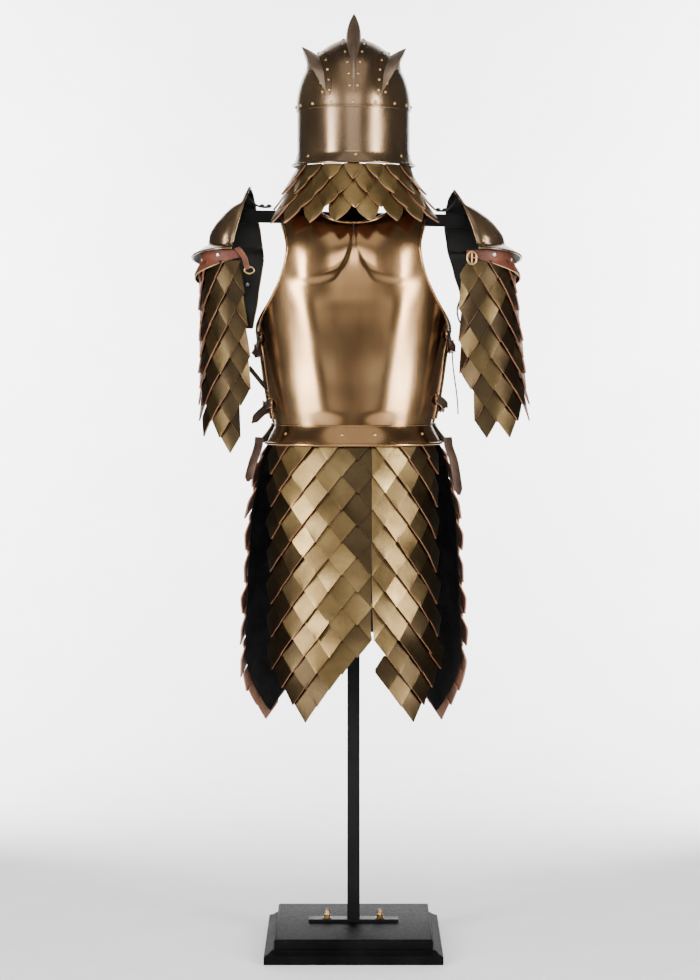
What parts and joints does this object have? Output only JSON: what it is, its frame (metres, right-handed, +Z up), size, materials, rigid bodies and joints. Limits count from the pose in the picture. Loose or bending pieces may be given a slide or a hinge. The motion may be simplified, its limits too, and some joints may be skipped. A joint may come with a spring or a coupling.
{
  "type": "scale armour with cuirass, helmet and pauldrons on a display stand",
  "caption": "Bronze cuirass with a finned helmet, pauldrons, and sleeves, aventail and skirt of overlapping leather scales, on a black pole stand with a square base.",
  "frame": {"origin": "centre of the stand's underside, on the floor", "axes": "+Z up, -Y towards the shown side, which is the back of the suit, +X to the right in that view"},
  "size_m": [0.6748, 0.35, 1.8607],
  "materials": {
    "bronze": "brushed antique bronze plate, satin, darker in the hollows",
    "fin_metal": "paler polished bronze",
    "scale_leather": "gold-bronze painted leather, slightly metallic, copper-brown cut edges",
    "dark_leather": "dark brown strap leather, waxed",
    "russet_leather": "russet leather with a pale cut edge",
    "black_leather": "black leather and lining felt, matt",
    "black_stand": "satin black",
    "black_wood": "black painted wood, satin",
    "brass": "bright brass"
  },
  "bodies": {
    "root": {"base_lower": "black_wood", "base_upper": "black_wood", "foot_strip": "black_stand", "pole": "black_stand", "crossbar": "black_stand", "head_rest": "black_leather", "pauldron_strap_left": "black_leather", "pauldron_strap_right": "black_leather", "lace_right": "black_leather", "skirt_band_near": "black_leather", "skirt_band_far": "black_leather", "bolt_left": "brass", "bolt_right": "brass", "buckle_upper_left": "brass", "buckle_upper_right": "brass", "buckle_lower_left": "brass", "buckle_lower_right": "brass", "buckle_arm_right": "brass", "helmet_dome": "bronze", "helmet_wall": "bronze", "helmet_rim": "bronze", "back_plate": "bronze", "breast_plate": "bronze", "flange_back": "bronze", "flange_front": "bronze", "pauldron_left": "bronze", "pauldron_right": "bronze", "brim_left": "bronze", "brim_right": "bronze", "wing_left": "bronze", "wing_right": "bronze", "fin_center": "fin_metal", "fin_left": "fin_metal", "fin_right": "fin_metal", "aventail": "scale_leather", "skirt_near_left": "scale_leather", "skirt_near_right": "scale_leather", "skirt_far_left": "scale_leather", "skirt_far_right": "scale_leather", "sleeve_left": "scale_leather", "sleeve_right": "scale_leather", "strap_upper_left": "dark_leather", "strap_upper_right": "dark_leather", "strap_lower_left": "dark_leather", "strap_lower_right": "dark_leather", "shoulder_strap_left": "dark_leather", "shoulder_strap_right": "dark_leather", "hip_flap_left": "dark_leather", "hip_flap_right": "dark_leather", "arm_band_left": "russet_leather", "arm_band_right": "russet_leather"}
  },
  "joints": []
}
